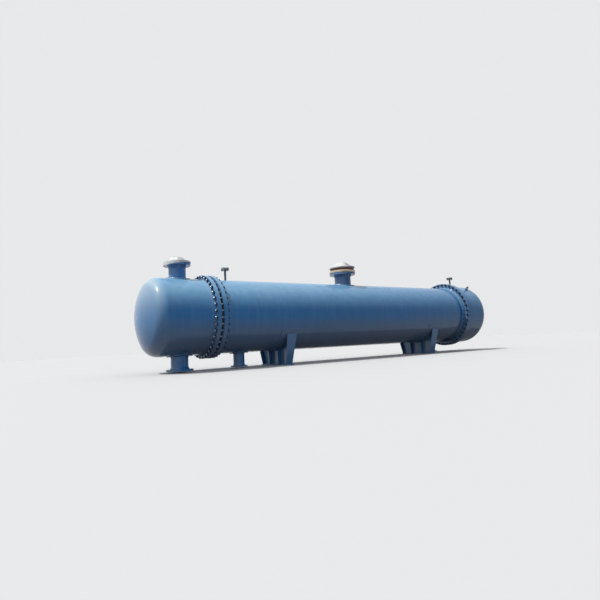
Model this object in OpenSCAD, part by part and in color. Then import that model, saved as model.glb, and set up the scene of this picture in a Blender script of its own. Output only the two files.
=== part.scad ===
// Horizontal shell and tube heat exchanger with a floating head, on two saddles.
// X runs along the shell from the channel end to the cover end, and Z is up.
// The origin lies on the floor under the middle of the overall length.

/* [Shell] */
// Outside diameter of the shell and of the channel
shell_od = 1228; // [1200:1:1240]
// Wall of the shell and of the channel
shell_wall = 14; // [8:1:20]
// Length of the shell between the joint faces of its two flanges
shell_len = 6050; // [5600:10:7000]
// Height of the shell axis above the floor
axis_height = 870; // [860:1:1000]

/* [Channel] */
// Length from the channel head's tangent line to the bolt side of the flange ring
channel_len = 720; // [660:5:900]
// Straight skirt of both dished heads
skirt = 40; // [25:1:60]
// Crown radius of a dished head as a share of its diameter
crown_share = 0.9; // [0.85:0.01:0.95]
// Knuckle radius of a dished head as a share of its diameter
knuckle_share = 0.17; // [0.14:0.01:0.18]

/* [Cover] */
// Radius by which the shell cover is wider than the shell, for the floating head
cover_step = 48; // [40:1:50]
// Wall of the shell cover
cover_wall = 12; // [8:1:16]
// Length from the cover's joint face to its head's tangent line
cover_len = 546; // [480:5:800]

/* [Girth flanges] */
// Thickness of every girth flange ring
ring_t = 60; // [45:1:75]
// Length of every flange hub
hub_len = 75; // [50:1:90]
// Distance of the bolts at the tube sheet from the shell's outside
front_bolts_out = 40; // [38:1:44]
// Distance of the rim of the two flanges at the tube sheet from their bolts
front_rim = 26; // [24:1:34]
// Number of bolts at the tube sheet
front_bolts = 40; // [36:4:48]
// Distance of the bolts at the cover from the shell's outside
rear_bolts_out = 81; // [79:1:86]
// Distance of the rim of the two flanges at the cover from their bolts
rear_rim = 30; // [25:1:40]
// Radius by which the hub of the shell's rear flange grows toward its ring
rear_hub_step = 26; // [14:1:30]
// Number of bolts at the cover
rear_bolts = 40; // [36:4:48]
// Diameter of the bolt holes in the girth flanges
girth_hole_d = 30; // [24:1:31]
// Radius kept free round a bolt for its nut
nut_room = 24; // [21:1:25]
// Depth of the recess in a flange face that holds a gasket
recess = 5; // [4:0.5:8]
// Metal left between a gasket's recess and the bolt holes at the tube sheet
front_land = 11; // [8:1:12]
// Metal left between the raised face and the bolt holes at the cover
rear_land = 8; // [6:1:9]
// Gap round the raised face and round the tube sheet in their recesses
seat_gap = 2; // [1:0.5:3]
// Height of the raised face on the cover flange
raised = 6; // [6:0.5:10]
// Thickness of a girth gasket
gasket_t = 3; // [2:0.5:4]
// Width of a girth gasket
gasket_w = 20; // [14:1:22]
// Thickness of the tube sheet
tube_sheet_t = 54; // [40:1:80]

/* [Nozzles] */
// Distance of the channel nozzles from the bolt side of the channel flange
channel_nozzle_at = 376; // [340:1:400]
// Distance of the top shell nozzle from the middle of the shell, toward the channel
top_nozzle_off = 60; // [-300:5:300]
// Distance of the front bottom nozzle from the shell's front joint face
front_nozzle_at = 556; // [520:1:800]
// Distance of the rear bottom nozzle from the shell's rear joint face
rear_nozzle_at = 570; // [520:5:600]
// Height of the channel nozzle faces above or below the axis
channel_nozzle_reach = 850; // [800:1:855]
// Height of the top shell nozzle face above the axis
top_nozzle_reach = 855; // [820:1:900]
// Depth of the bottom shell nozzle faces below the axis
bottom_nozzle_reach = 850; // [790:1:855]
// Outside diameter of the channel nozzle necks
channel_neck_d = 273; // [219:1:290]
// Outside diameter of the top shell nozzle neck
top_neck_d = 325; // [273:1:335]
// Outside diameter of the bottom shell nozzle necks
bottom_neck_d = 190; // [159:1:200]
// Wall of the channel and top shell nozzle necks
neck_wall = 10; // [6:1:14]
// Wall of the bottom shell nozzle necks, which are thick and forged
bottom_neck_wall = 20; // [8:1:24]
// Wall of the reinforcing pads round the nozzles
pad_t = 12; // [8:1:16]
// Width of the reinforcing pads round the necks
pad_w = 60; // [45:1:65]

/* [Vents] */
// Distance of the shell vent from the shell's front joint face
shell_vent_at = 357; // [260:1:380]
// Distance of the cover vent from the cover's joint face
cover_vent_at = 310; // [210:1:400]
// Height of the shell vent's flange face above the axis
shell_vent_reach = 812; // [740:1:830]
// Height of the cover vent's flange face above the axis
cover_vent_reach = 872; // [800:1:900]
// Outside diameter of a vent pipe
vent_pipe_d = 38; // [27:1:42]
// Outside diameter of a vent flange
vent_flange_d = 140; // [125:1:150]
// Bolt circle of a vent flange
vent_pitch_d = 100; // [88:1:106]
// Thickness of a vent flange and of its blind
vent_flange_t = 18; // [12:1:22]

/* [Lifting lugs] */
// Distance of the lugs from the cover's joint face
lug_at = 425; // [200:5:450]
// Angle of the lugs from the top of the cover, to either side
lug_angle = 33; // [20:1:45]
// Width of a lug along the cover
lug_w = 90; // [70:1:110]
// Height of a lug above the cover
lug_h = 95; // [80:1:120]
// Thickness of a lug
lug_t = 16; // [10:1:22]
// Diameter of the eye in a lug
lug_eye_d = 36; // [24:1:44]

/* [Transport covers] */
// Thickness of the cap's rim on the channel's top nozzle
cap_rim_t = 42; // [20:1:60]
// Diameter of the cap's dome
cap_dome_d = 275; // [200:1:320]
// Height of the cap's dome
cap_dome_h = 85; // [60:1:120]
// Thickness of the board on the top shell nozzle
blank_t = 45; // [20:1:60]
// Thickness of the packing ring above that board
packing_t = 45; // [20:1:60]
// Thickness of the rim of the lid above the packing ring
lid_rim_t = 40; // [20:1:55]
// Diameter of the lid's dome
lid_dome_d = 360; // [280:1:400]
// Height of the lid's dome
lid_dome_h = 100; // [60:1:130]

/* [Saddles] */
// Distance of the fixed saddle from the shell's front joint face
fixed_saddle_at = 1315; // [1100:5:1600]
// Distance of the sliding saddle from the shell's rear joint face
sliding_saddle_at = 1000; // [980:5:1600]
// Length of a saddle's base plate across the shell
base_len = 820; // [780:1:940]
// Width of a saddle's base plate along the shell
base_w = 170; // [150:1:200]
// Thickness of the base plate
base_t = 16; // [10:1:20]
// Spacing of the two anchor holes in a base plate
anchor_spacing = 660; // [600:1:680]
// Diameter of the anchor holes
anchor_d = 24; // [20:1:28]
// Length of the slots in the sliding base plate
slot_len = 60; // [40:1:80]
// Thickness of the saddle's web and ribs
web_t = 10; // [8:1:14]
// Width of a rib at the base plate
rib_foot = 128; // [110:1:150]
// Width of a rib at the shell
rib_head = 200; // [160:1:240]
// Distance of the inner ribs from the middle of the saddle
inner_rib_at = 150; // [120:1:200]
// Thickness of the wear plate
wear_t = 8; // [6:1:12]
// Width of the wear plate along the shell
wear_w = 420; // [220:1:430]
// Angle of the shell that the saddle supports
wrap = 120; // [110:1:130]
// Angle by which the wear plate passes the saddle's horn
wear_extra = 6; // [3:1:10]

/* [Tube bundle] */
// Distance of the floating tube sheet past the shell's rear joint face
floating_past = 2; // [0:1:60]
// Space between the pack of tubes and the shell's inside
bundle_gap = 40; // [25:1:100]
// Number of baffles
baffles = 14; // [8:1:18]
// Thickness of a baffle
baffle_t = 10; // [8:1:14]
// Clearance between the baffles and the shell
baffle_gap = 3; // [2:0.5:5]
// Thickness of the floating tube sheet
floating_sheet_t = 54; // [40:1:70]
// Space between the floating head's rim and the cover's inside
floating_gap = 12; // [8:1:20]

/* [Hidden] */
$fn = 128;

steel_blue = [0.18, 0.39, 0.58];
deep_blue = [0.12, 0.27, 0.50];

shell_r = shell_od / 2;
shell_ri = shell_r - shell_wall;
cover_r = shell_r + cover_step;
cover_ri = cover_r - cover_wall;

// Depth of a dished head from its radius, measured outside.
function dish_depth(r) =
    let (crown = 2 * r * crown_share, knuckle = 2 * r * knuckle_share)
    crown - sqrt(pow(crown - knuckle, 2) - pow(r - knuckle, 2));

front_gap = tube_sheet_t + 2 * (gasket_t - recess);
rear_gap = raised + gasket_t - recess;
front_r = shell_r + front_bolts_out;
rear_r = shell_r + rear_bolts_out;
front_ring_r = front_r + front_rim;
rear_ring_r = rear_r + rear_rim;
front_recess_r = front_r - girth_hole_d / 2 - front_land;
front_seat_r = front_recess_r - seat_gap;
rear_raised_r = rear_r - girth_hole_d / 2 - rear_land;
rear_recess_r = rear_raised_r + seat_gap;
front_hub_r = front_r - nut_room - seat_gap;
cover_hub_r = rear_r - nut_room;

overall_len = dish_depth(shell_r) + channel_len + ring_t + front_gap + shell_len
    + rear_gap + cover_len + dish_depth(cover_r);
x_channel_tan = dish_depth(shell_r) - overall_len / 2;
x_channel_ring = x_channel_tan + channel_len;
x_channel_face = x_channel_ring + ring_t;
x_shell_face = x_channel_face + front_gap;
x_rear_face = x_shell_face + shell_len;
x_cover_face = x_rear_face + rear_gap;
x_cover_tan = x_cover_face + cover_len;
x_sheet = x_channel_face - recess + gasket_t;
x_bundle = x_sheet + tube_sheet_t;
x_floating = x_rear_face + floating_past;
x_channel_nozzle = x_channel_ring - channel_nozzle_at;
x_top_nozzle = x_shell_face + shell_len / 2 - top_nozzle_off;
x_front_nozzle = x_shell_face + front_nozzle_at;
x_rear_nozzle = x_rear_face - rear_nozzle_at;
x_shell_vent = x_shell_face + shell_vent_at;
x_cover_vent = x_cover_face + cover_vent_at;
x_fixed_saddle = x_shell_face + fixed_saddle_at;
x_sliding_saddle = x_rear_face - sliding_saddle_at;
bundle_r = shell_ri - bundle_gap;
baffle_r = shell_ri - baffle_gap;
floating_r = cover_ri - floating_gap;

// Nozzle flanges: outside diameter, thickness, bolt circle, holes, hole, raised face.
channel_rating = [425, 32, 370, 12, 30, 335];
top_rating = [515, 42, 450, 16, 33, 410];
bottom_rating = [285, 24, 240, 8, 22, 212];
vent_hole_d = 16;
vent_face_d = 78;
vent_rating = [vent_flange_d, vent_flange_t, vent_pitch_d, 4, vent_hole_d, vent_face_d];
face_h = 3;

web_z = axis_height - base_t;
wear_r = shell_r + wear_t;
horn_y = wear_r * sin(wrap / 2);
horn_z = wear_r * cos(wrap / 2);
horn_flat = 2.5 * web_t;

// Turns a revolved shape so that its own Z points along +X on the shell axis.
module on_axis(x) {
    translate([x, 0, axis_height]) rotate([0, 90, 0]) children();
}

// The same, pointing along -X.
module facing_back(x) {
    translate([x, 0, axis_height]) rotate([0, -90, 0]) children();
}

// Half section of a solid dished head, axis at x = 0 and tangent line at y = 0. The crown's
// wedge and the skirt both reach the knuckle's centre, so the three overlap.
module dish_half(r, crown, knuckle, depth) {
    drop = sqrt(pow(crown - knuckle, 2) - pow(r - knuckle, 2));
    far = 2.5;
    intersection() {
        translate([0, -depth]) square([r, depth + crown]);
        union() {
            translate([0, -depth]) square([r, depth]);
            translate([r - knuckle, 0]) circle(r = knuckle);
            intersection() {
                translate([0, -drop]) circle(r = crown);
                polygon([[0, -drop], [(r - knuckle) * far, drop * (far - 1)], [0, drop * far]]);
            }
        }
    }
}

// Wall section of a dished head from its radius, measured outside.
module dish_section(r, wall) {
    crown = 2 * r * crown_share;
    knuckle = 2 * r * knuckle_share;
    difference() {
        dish_half(r, crown, knuckle, skirt);
        dish_half(r - wall, crown - wall, knuckle - wall, 2 * skirt);
    }
}

// Ring of bolt holes, half a pitch off the vertical plane.
module bolt_holes(pitch_r, count, hole_d, depth) {
    for (i = [0 : count - 1])
        rotate([0, 0, (i + 0.5) * 360 / count]) translate([pitch_r, 0, -depth - 1])
            cylinder(d = hole_d, h = 2 * depth + 2, $fn = 24);
}

// Weld-neck girth flange with its joint face at z = 0. A step below zero is a
// recess for the gasket and a step above zero is a raised face.
module girth_flange(ring_r, pitch_r, count, bore_r, neck_r, hub_r, step, step_r) {
    difference() {
        rotate_extrude() polygon([
            [bore_r, step], [step_r, step], [step_r, 0], [ring_r, 0],
            [ring_r, -ring_t], [hub_r, -ring_t], [neck_r, -ring_t - hub_len],
            [bore_r, -ring_t - hub_len]
        ]);
        bolt_holes(pitch_r, count, girth_hole_d, ring_t);
    }
}

module annulus(r_out, r_in, t) {
    difference() {
        cylinder(r = r_out, h = t);
        translate([0, 0, -1]) cylinder(r = r_in, h = t + 2);
    }
}

// Nozzle neck and weld-neck flange, pointing up from the axis to z = reach, with
// its inner end cut to the vessel's inside.
module nozzle_body(rating, neck_d, wall, reach, vessel_ri) {
    neck_r = neck_d / 2;
    bore_r = neck_r - wall;
    hub_r = min(rating[5] / 2 - face_h, neck_r * 1.12 + 4);
    hub_h = rating[1] * 1.1;
    underside = reach - rating[1];
    difference() {
        rotate_extrude() polygon([
            [bore_r, vessel_ri * 0.7], [neck_r, vessel_ri * 0.7], [neck_r, underside - hub_h],
            [hub_r, underside], [rating[0] / 2, underside], [rating[0] / 2, reach - face_h],
            [rating[5] / 2, reach - face_h], [rating[5] / 2, reach], [bore_r, reach]
        ]);
        translate([-neck_d, 0, 0]) rotate([0, 90, 0]) cylinder(r = vessel_ri, h = 2 * neck_d);
        translate([0, 0, reach]) bolt_holes(rating[2] / 2, rating[3], rating[4], rating[1]);
    }
}

// Reinforcing pad: a plate bent to the vessel round a neck that points up.
module bent_pad(neck_d, vessel_r) {
    intersection() {
        translate([-neck_d, 0, 0]) rotate([0, 90, 0]) difference() {
            cylinder(r = vessel_r + pad_t, h = 2 * neck_d);
            translate([0, 0, -1]) cylinder(r = vessel_r, h = 2 * neck_d + 2);
        }
        difference() {
            cylinder(r = neck_d / 2 + pad_w, h = vessel_r * 1.5);
            translate([0, 0, -1]) cylinder(d = neck_d, h = vessel_r * 1.5 + 2);
        }
    }
}

module upward(x) {
    translate([x, 0, axis_height]) children();
}

module downward(x) {
    translate([x, 0, axis_height]) rotate([180, 0, 0]) children();
}

module drum(x_from, x_to, r, wall) {
    on_axis(x_from) annulus(r, r - wall, x_to - x_from);
}

module channel_head() {
    color(steel_blue) facing_back(x_channel_tan) rotate_extrude() dish_section(shell_r, shell_wall);
}

module channel_barrel() {
    color(steel_blue) difference() {
        drum(x_channel_tan + skirt, x_channel_ring - hub_len, shell_r, shell_wall);
        upward(x_channel_nozzle) translate([0, 0, -shell_od]) cylinder(d = channel_neck_d, h = 2 * shell_od);
    }
}

module channel_flange() {
    color(steel_blue) on_axis(x_channel_face) girth_flange(front_ring_r, front_r, front_bolts,
        shell_ri, shell_r, front_hub_r, -recess, front_recess_r);
}

module channel_gasket() {
    color([0.25, 0.25, 0.26]) on_axis(x_channel_face - recess)
        annulus(front_seat_r, front_seat_r - gasket_w, gasket_t);
}

module tube_sheet() {
    color([0.42, 0.44, 0.46]) on_axis(x_sheet) cylinder(r = front_seat_r, h = tube_sheet_t);
}

module shell_gasket() {
    color([0.25, 0.25, 0.26]) on_axis(x_bundle)
        annulus(front_seat_r, front_seat_r - gasket_w, gasket_t);
}

module shell_front_flange() {
    color(steel_blue) facing_back(x_shell_face) girth_flange(front_ring_r, front_r, front_bolts,
        shell_ri, shell_r, front_hub_r, -recess, front_recess_r);
}

module shell_barrel() {
    color(steel_blue) difference() {
        drum(x_shell_face + ring_t + hub_len, x_rear_face - ring_t - hub_len, shell_r, shell_wall);
        upward(x_top_nozzle) cylinder(d = top_neck_d, h = shell_od);
        upward(x_shell_vent) cylinder(d = vent_pipe_d, h = shell_od);
        downward(x_front_nozzle) cylinder(d = bottom_neck_d, h = shell_od);
        downward(x_rear_nozzle) cylinder(d = bottom_neck_d, h = shell_od);
    }
}

module shell_rear_flange() {
    color(steel_blue) on_axis(x_rear_face) girth_flange(rear_ring_r, rear_r, rear_bolts,
        shell_ri, shell_r, shell_r + rear_hub_step, -recess, rear_recess_r);
}

module cover_gasket() {
    color([0.25, 0.25, 0.26]) on_axis(x_rear_face - recess)
        annulus(rear_raised_r, rear_raised_r - gasket_w, gasket_t);
}

module cover_flange() {
    color(steel_blue) facing_back(x_cover_face) girth_flange(rear_ring_r, rear_r, rear_bolts,
        cover_ri, cover_r, cover_hub_r, raised, rear_raised_r);
}

module cover_barrel() {
    color(steel_blue) difference() {
        drum(x_cover_face + ring_t + hub_len, x_cover_tan - skirt, cover_r, cover_wall);
        upward(x_cover_vent) cylinder(d = vent_pipe_d, h = 2 * cover_r);
    }
}

module cover_head() {
    color(steel_blue) on_axis(x_cover_tan) rotate_extrude() dish_section(cover_r, cover_wall);
}

module channel_nozzle() {
    nozzle_body(channel_rating, channel_neck_d, neck_wall, channel_nozzle_reach, shell_ri);
}

module channel_top_nozzle() {
    color(deep_blue) upward(x_channel_nozzle) channel_nozzle();
}

module channel_bottom_nozzle() {
    color(deep_blue) downward(x_channel_nozzle) channel_nozzle();
}

module channel_top_pad() {
    color(steel_blue) upward(x_channel_nozzle) bent_pad(channel_neck_d, shell_r);
}

module channel_bottom_pad() {
    color(steel_blue) downward(x_channel_nozzle) bent_pad(channel_neck_d, shell_r);
}

module channel_top_gasket() {
    color([0.32, 0.22, 0.17]) upward(x_channel_nozzle)
        translate([0, 0, channel_nozzle_reach])
            annulus(channel_rating[5] / 2, channel_neck_d / 2, gasket_t);
}

// Domed cap: a flat rim with a shallow dome pressed up from its middle.
module domed_cap(rim_d, rim_t, dome_d, dome_h) {
    ball_r = (dome_d * dome_d / 4 + dome_h * dome_h) / (2 * dome_h);
    cylinder(d = rim_d, h = rim_t);
    intersection() {
        translate([0, 0, rim_t + dome_h - ball_r]) sphere(r = ball_r);
        translate([0, 0, rim_t / 2]) cylinder(d = dome_d, h = rim_t / 2 + dome_h + 1);
    }
}

module channel_top_cover() {
    color([0.80, 0.82, 0.80]) upward(x_channel_nozzle)
        translate([0, 0, channel_nozzle_reach + gasket_t])
            domed_cap(channel_rating[0], cap_rim_t, cap_dome_d, cap_dome_h);
}

module shell_top_nozzle() {
    color(deep_blue) upward(x_top_nozzle)
        nozzle_body(top_rating, top_neck_d, neck_wall, top_nozzle_reach, shell_ri);
}

module shell_top_pad() {
    color(steel_blue) upward(x_top_nozzle) bent_pad(top_neck_d, shell_r);
}

module shell_top_blank() {
    color([0.82, 0.75, 0.66]) upward(x_top_nozzle)
        translate([0, 0, top_nozzle_reach]) cylinder(d = top_rating[0], h = blank_t);
}

module shell_top_packing() {
    color([0.42, 0.25, 0.18]) upward(x_top_nozzle)
        translate([0, 0, top_nozzle_reach + blank_t]) cylinder(d = top_rating[2], h = packing_t);
}

module shell_top_cover() {
    color([0.76, 0.72, 0.80]) upward(x_top_nozzle)
        translate([0, 0, top_nozzle_reach + blank_t + packing_t])
            domed_cap(top_rating[0], lid_rim_t, lid_dome_d, lid_dome_h);
}

module bottom_nozzle() {
    nozzle_body(bottom_rating, bottom_neck_d, bottom_neck_wall, bottom_nozzle_reach, shell_ri);
}

module front_bottom_nozzle() {
    color(deep_blue) downward(x_front_nozzle) bottom_nozzle();
}

module front_bottom_pad() {
    color(steel_blue) downward(x_front_nozzle) bent_pad(bottom_neck_d, shell_r);
}

module rear_bottom_nozzle() {
    color(deep_blue) downward(x_rear_nozzle) bottom_nozzle();
}

module rear_bottom_pad() {
    color(steel_blue) downward(x_rear_nozzle) bent_pad(bottom_neck_d, shell_r);
}

module vent_blind() {
    difference() {
        cylinder(d = vent_flange_d, h = vent_flange_t);
        translate([0, 0, vent_flange_t])
            bolt_holes(vent_pitch_d / 2, vent_rating[3], vent_rating[4], vent_flange_t);
    }
}

module shell_vent() {
    color(deep_blue) upward(x_shell_vent)
        nozzle_body(vent_rating, vent_pipe_d, 5, shell_vent_reach, shell_ri);
}

module shell_vent_blind() {
    color(deep_blue) upward(x_shell_vent)
        translate([0, 0, shell_vent_reach]) vent_blind();
}

module cover_vent() {
    color(deep_blue) upward(x_cover_vent)
        nozzle_body(vent_rating, vent_pipe_d, 5, cover_vent_reach, cover_ri);
}

module cover_vent_blind() {
    color(deep_blue) upward(x_cover_vent)
        translate([0, 0, cover_vent_reach]) vent_blind();
}

// Lifting lug: a plate with an eye, standing on the cover along the shell axis.
module lug(angle) {
    translate([x_cover_face + lug_at, 0, axis_height]) rotate([angle, 0, 0])
        translate([0, lug_t / 2, cover_r]) rotate([90, 0, 0]) linear_extrude(height = lug_t)
            difference() {
                union() {
                    translate([-lug_w / 2, 0]) square([lug_w, lug_h - lug_w / 2]);
                    translate([0, lug_h - lug_w / 2]) circle(d = lug_w, $fn = 64);
                }
                translate([0, lug_h - lug_w / 2]) circle(d = lug_eye_d, $fn = 32);
            }
}

module cover_front_lug() {
    color(steel_blue) lug(lug_angle);
}

module cover_back_lug() {
    color(steel_blue) lug(-lug_angle);
}

// Wear plate between the shell and a saddle, centred on the saddle.
module wear_plate(x) {
    half = wrap / 2 + wear_extra;
    on_axis(x - wear_w / 2) rotate([0, 0, -half])
        rotate_extrude(angle = 2 * half) translate([shell_r, 0]) square([wear_t, wear_w]);
}

// A rib that widens upward, its outer face along the line from the foot to the head.
module rib(foot_y, head_y) {
    rise = web_z - horn_z;
    tilt = atan2(head_y - foot_y, rise);
    length = rise / cos(tilt);
    translate([0, foot_y, -web_z]) rotate([-tilt, 0, 0]) rotate([90, 0, 0])
        linear_extrude(height = web_t) polygon([
            [-rib_foot / 2, -web_t], [rib_foot / 2, -web_t], [rib_foot / 2, 0],
            [rib_head / 2, length + horn_flat], [-rib_head / 2, length + horn_flat],
            [-rib_foot / 2, 0]
        ]);
}

// Web and four ribs, cut to the wear plate's round, to the base plate and to the
// flat end of the horns.
module saddle_frame(x) {
    foot_y = base_len / 2 - web_t;
    top_y = horn_y + horn_flat * (horn_y - foot_y) / (web_z - horn_z);
    translate([x, 0, axis_height]) difference() {
        union() {
            translate([-web_t / 2, 0, 0]) rotate([90, 0, 90]) linear_extrude(height = web_t)
                polygon([
                    [-foot_y, -web_z], [foot_y, -web_z],
                    [top_y, horn_flat - horn_z], [-top_y, horn_flat - horn_z]
                ]);
            for (side = [0, 1]) mirror([0, side, 0]) {
                rib(foot_y, horn_y);
                rib(inner_rib_at + web_t / 2, inner_rib_at + web_t / 2);
            }
        }
        translate([-rib_head, 0, 0]) rotate([0, 90, 0]) cylinder(r = wear_r, h = 2 * rib_head);
        translate([-rib_head, -base_len, -horn_z - horn_flat])
            cube([2 * rib_head, 2 * base_len, horn_z + horn_flat]);
        translate([-rib_head, -base_len, -web_z - 2 * web_t])
            cube([2 * rib_head, 2 * base_len, 2 * web_t]);
    }
}

module base_plate(x) {
    translate([x - base_w / 2, -base_len / 2, 0]) cube([base_w, base_len, base_t]);
}

module fixed_saddle_pad() {
    color(steel_blue) wear_plate(x_fixed_saddle);
}

module fixed_saddle_frame() {
    color(deep_blue) saddle_frame(x_fixed_saddle);
}

module fixed_saddle_base() {
    color(deep_blue) difference() {
        base_plate(x_fixed_saddle);
        for (side = [-1, 1]) translate([x_fixed_saddle, side * anchor_spacing / 2, -1])
            cylinder(d = anchor_d, h = base_t + 2);
    }
}

module sliding_saddle_pad() {
    color(steel_blue) wear_plate(x_sliding_saddle);
}

module sliding_saddle_frame() {
    color(deep_blue) saddle_frame(x_sliding_saddle);
}

module sliding_saddle_base() {
    slot = slot_len - anchor_d;
    color(deep_blue) difference() {
        base_plate(x_sliding_saddle);
        for (side = [-1, 1]) translate([x_sliding_saddle, side * anchor_spacing / 2, -1]) {
            translate([-slot / 2, 0, 0]) cylinder(d = anchor_d, h = base_t + 2);
            translate([slot / 2, 0, 0]) cylinder(d = anchor_d, h = base_t + 2);
            translate([-slot / 2, -anchor_d / 2, 0]) cube([slot, anchor_d, base_t + 2]);
        }
    }
}

// The pack of tubes as one round body, with baffles cut off in turn above and below.
module tube_bundle() {
    pitch = shell_len / (baffles + 1);
    color([0.50, 0.51, 0.52]) union() {
        on_axis(x_bundle) cylinder(r = bundle_r, h = x_floating - x_bundle);
        for (i = [1 : baffles]) {
            side = i % 2 == 0 ? 1 : -1;
            on_axis(x_shell_face + i * pitch - baffle_t / 2) intersection() {
                cylinder(r = baffle_r, h = baffle_t);
                translate([side * shell_ri * 0.5, 0, baffle_t / 2])
                    cube([2 * shell_ri, 2 * shell_ri, baffle_t * 2], center = true);
            }
        }
    }
}

module floating_tube_sheet() {
    color([0.42, 0.44, 0.46]) on_axis(x_floating)
        cylinder(r = baffle_r, h = floating_sheet_t);
}

// Split ring that clamps the floating head from behind, drawn closed.
module backing_ring() {
    color([0.42, 0.44, 0.46]) on_axis(x_floating)
        annulus(floating_r, baffle_r, floating_sheet_t);
}

module floating_head() {
    color([0.42, 0.44, 0.46]) on_axis(x_floating + floating_sheet_t) {
        annulus(floating_r, bundle_r, skirt);
        translate([0, 0, skirt]) rotate_extrude() dish_section(bundle_r + cover_wall, cover_wall);
    }
}

channel_head();
channel_barrel();
channel_flange();
channel_gasket();
tube_sheet();
shell_gasket();
shell_front_flange();
shell_barrel();
shell_rear_flange();
cover_gasket();
cover_flange();
cover_barrel();
cover_head();
channel_top_nozzle();
channel_top_pad();
channel_top_gasket();
channel_top_cover();
channel_bottom_nozzle();
channel_bottom_pad();
shell_top_nozzle();
shell_top_pad();
shell_top_blank();
shell_top_packing();
shell_top_cover();
front_bottom_nozzle();
front_bottom_pad();
rear_bottom_nozzle();
rear_bottom_pad();
shell_vent();
shell_vent_blind();
cover_vent();
cover_vent_blind();
cover_front_lug();
cover_back_lug();
fixed_saddle_pad();
fixed_saddle_frame();
fixed_saddle_base();
sliding_saddle_pad();
sliding_saddle_frame();
sliding_saddle_base();
tube_bundle();
floating_tube_sheet();
backing_ring();
floating_head();
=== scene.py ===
import math

import bpy
from mathutils import Matrix, Vector


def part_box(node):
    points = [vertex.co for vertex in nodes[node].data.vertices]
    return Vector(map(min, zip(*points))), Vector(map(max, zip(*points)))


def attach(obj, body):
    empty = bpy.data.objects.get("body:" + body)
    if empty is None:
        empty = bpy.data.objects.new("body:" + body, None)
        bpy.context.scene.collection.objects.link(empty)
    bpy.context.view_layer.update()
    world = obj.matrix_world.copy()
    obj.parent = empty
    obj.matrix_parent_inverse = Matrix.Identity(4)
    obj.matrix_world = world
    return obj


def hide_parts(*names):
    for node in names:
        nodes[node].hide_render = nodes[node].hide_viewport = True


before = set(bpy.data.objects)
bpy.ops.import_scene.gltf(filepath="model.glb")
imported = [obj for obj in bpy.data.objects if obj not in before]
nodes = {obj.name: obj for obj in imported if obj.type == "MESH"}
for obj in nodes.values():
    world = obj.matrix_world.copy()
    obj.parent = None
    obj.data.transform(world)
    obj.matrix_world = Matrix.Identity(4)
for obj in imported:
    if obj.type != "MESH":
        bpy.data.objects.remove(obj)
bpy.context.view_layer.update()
scene = bpy.context.scene

# Camera: low, near and toward the channel end, so that the shell runs away to the right.
# Its place and turn follow from the rounds of the two bolted joints and of the shell.
CAMERA_AT = Vector((-6.068, -7.214, 0.336))
CAMERA_YAW = math.radians(35.04)
CAMERA_PITCH = math.radians(5.43)
CAMERA_ROLL = math.radians(-3.00)
PICTURE_SIDE = 600
FOCAL_LENGTH = 470
CLIP_END = 500

bpy.ops.object.camera_add(location=CAMERA_AT)
camera = bpy.context.object
ahead = Vector(
    (
        math.sin(CAMERA_YAW) * math.cos(CAMERA_PITCH),
        math.cos(CAMERA_YAW) * math.cos(CAMERA_PITCH),
        math.sin(CAMERA_PITCH),
    )
)
level = Vector((math.cos(CAMERA_YAW), -math.sin(CAMERA_YAW), 0))
upright = level.cross(ahead)
right = level * math.cos(CAMERA_ROLL) + upright * math.sin(CAMERA_ROLL)
top = upright * math.cos(CAMERA_ROLL) - level * math.sin(CAMERA_ROLL)
camera.rotation_euler = Matrix((right, top, -ahead)).transposed().to_euler()
camera.data.lens = FOCAL_LENGTH * camera.data.sensor_width / PICTURE_SIDE
camera.data.clip_end = CLIP_END
scene.camera = camera
scene.view_settings.view_transform = "Standard"

# Light: one sun high on the left and a little behind the vessel, as its glint on the channel
# head shows, and a sky that is brightest overhead. The camera and glossy surfaces see a plain
# pale backdrop in its place.
SUN_FROM = Vector((-0.489, 0.154, 0.859))
SUN_STRENGTH = 3.0
SUN_SPREAD = math.radians(3)
SUN_DISTANCE = 12
SKY_STRENGTH = 0.80
SKY_STOPS = [
    (0.0, (0.22, 0.21, 0.20)),
    (0.50, (0.24, 0.24, 0.24)),
    (0.58, (0.42, 0.46, 0.50)),
    (0.75, (0.62, 0.68, 0.74)),
    (1.0, (0.95, 1.0, 1.0)),
]
BACKDROP = (0.80, 0.81, 0.82)

bpy.ops.object.light_add(type="SUN", location=SUN_FROM * SUN_DISTANCE)
sun = bpy.context.object
sun.rotation_euler = SUN_FROM.to_track_quat("Z", "Y").to_euler()
sun.data.energy = SUN_STRENGTH
sun.data.angle = SUN_SPREAD


def link(tree, source, target):
    """Joins an output to an input; each is (node, socket name or number)."""
    tree.links.new(source[0].outputs[source[1]], target[0].inputs[target[1]])


def ramp(tree, stops):
    """A colour ramp with (place, colour) stops."""
    node = tree.nodes.new("ShaderNodeValToRGB")
    elements = node.color_ramp.elements
    while len(elements) < len(stops):
        elements.new(0.5)
    for element, (place, colour) in zip(elements, stops):
        element.position = place
        element.color = (*colour, 1)
    return node


def seen_rays(tree):
    """1 for the rays that show a thing itself or in metal or glass, 0 for those that light."""
    path = tree.nodes.new("ShaderNodeLightPath")
    shown = (path, "Is Camera Ray")
    for kind in ("Is Glossy Ray", "Is Transmission Ray"):
        larger = tree.nodes.new("ShaderNodeMath")
        larger.operation = "MAXIMUM"
        link(tree, shown, (larger, 0))
        link(tree, (path, kind), (larger, 1))
        shown = (larger, "Value")
    return larger


def parts_of(tree, kind, output):
    """The X, Y and Z of one output of a new node of a kind."""
    source = tree.nodes.new(kind)
    parts = tree.nodes.new("ShaderNodeSeparateXYZ")
    link(tree, (source, output), (parts, 0))
    return parts


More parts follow.
